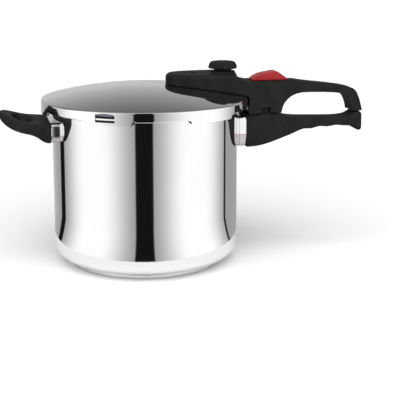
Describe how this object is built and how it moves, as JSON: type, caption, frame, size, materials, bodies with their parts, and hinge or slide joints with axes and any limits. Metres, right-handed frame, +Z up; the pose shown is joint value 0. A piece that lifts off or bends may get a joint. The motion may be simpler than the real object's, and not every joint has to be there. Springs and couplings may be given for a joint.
{
  "type": "pressure canner",
  "caption": "Tall round stainless-steel pressure pot with a domed bayonet lid, long and loop handles, a regulator knob and a thumb slider latch.",
  "frame": {"origin": "on the vessel's axis at the flat underside of its base", "axes": "+Z up the vessel's axis; +X along the long handle; -Y is the front"},
  "size_m": [0.446, 0.248, 0.2405],
  "materials": {
    "mirror_steel": "mirror-polished stainless steel",
    "satin_steel": "satin stainless steel",
    "aluminium": "plain",
    "black_phenolic": "satin moulded phenolic",
    "red_plastic": "smooth moulded",
    "silicone": "soft silicone",
    "spring_steel": "plain drawn wire"
  },
  "bodies": {
    "vessel": {"vessel_body": "mirror_steel", "base_core": "aluminium", "base_skin": "satin_steel", "long_handle_bracket": "satin_steel", "long_handle_ferrule": "mirror_steel", "long_handle": "black_phenolic", "long_handle_screw": "satin_steel", "long_handle_washer": "satin_steel", "side_handle_bracket": "satin_steel", "side_handle_ferrule": "mirror_steel", "side_handle": "black_phenolic", "side_handle_screw": "satin_steel", "side_handle_washer": "satin_steel"},
    "lid": {"lid_shell": "mirror_steel", "gasket": "silicone", "lid_handle": "black_phenolic", "lid_handle_screws": "satin_steel", "lid_screw_seals": "silicone", "valve_body": "satin_steel", "valve_seal": "silicone", "valve_nut": "satin_steel", "valve_strainer": "satin_steel"},
    "regulator": {"regulator_knob": "black_phenolic", "relief_spring": "spring_steel"},
    "relief_valve": {"relief_plunger": "satin_steel"},
    "pressure_indicator": {"pressure_pin": "satin_steel", "pressure_pin_seal": "silicone", "pressure_pin_clip": "spring_steel"},
    "latch": {"latch_bar": "satin_steel", "slider_button": "red_plastic", "latch_spring": "spring_steel"}
  },
  "joints": [
    {"name": "lid_turn", "type": "hinge", "parent": "vessel", "child": "lid", "pos_m": [0, 0, 0.19], "axis": [0, 0, 1], "range_deg": [0, 30]},
    {"name": "regulator_turn", "type": "hinge", "parent": "lid", "child": "regulator", "pos_m": [0.096, 0, 0.235], "axis": [0, 0, 1], "range_deg": [0, 120]},
    {"name": "relief_lift", "type": "slide", "parent": "regulator", "child": "relief_valve", "axis": [0, 0, 1], "range_m": [0, 0.002], "stiffness_N_per_m": 500, "springref_m": -0.002, "deforming": ["relief_spring"]},
    {"name": "indicator_rise", "type": "slide", "parent": "lid", "child": "pressure_indicator", "axis": [0, 0, 1], "range_m": [0, 0.0023]},
    {"name": "latch_slide", "type": "slide", "parent": "lid", "child": "latch", "axis": [1, 0, 0], "range_m": [0, 0.008], "stiffness_N_per_m": 400, "springref_m": -0.004, "deforming": ["latch_spring"]}
  ]
}
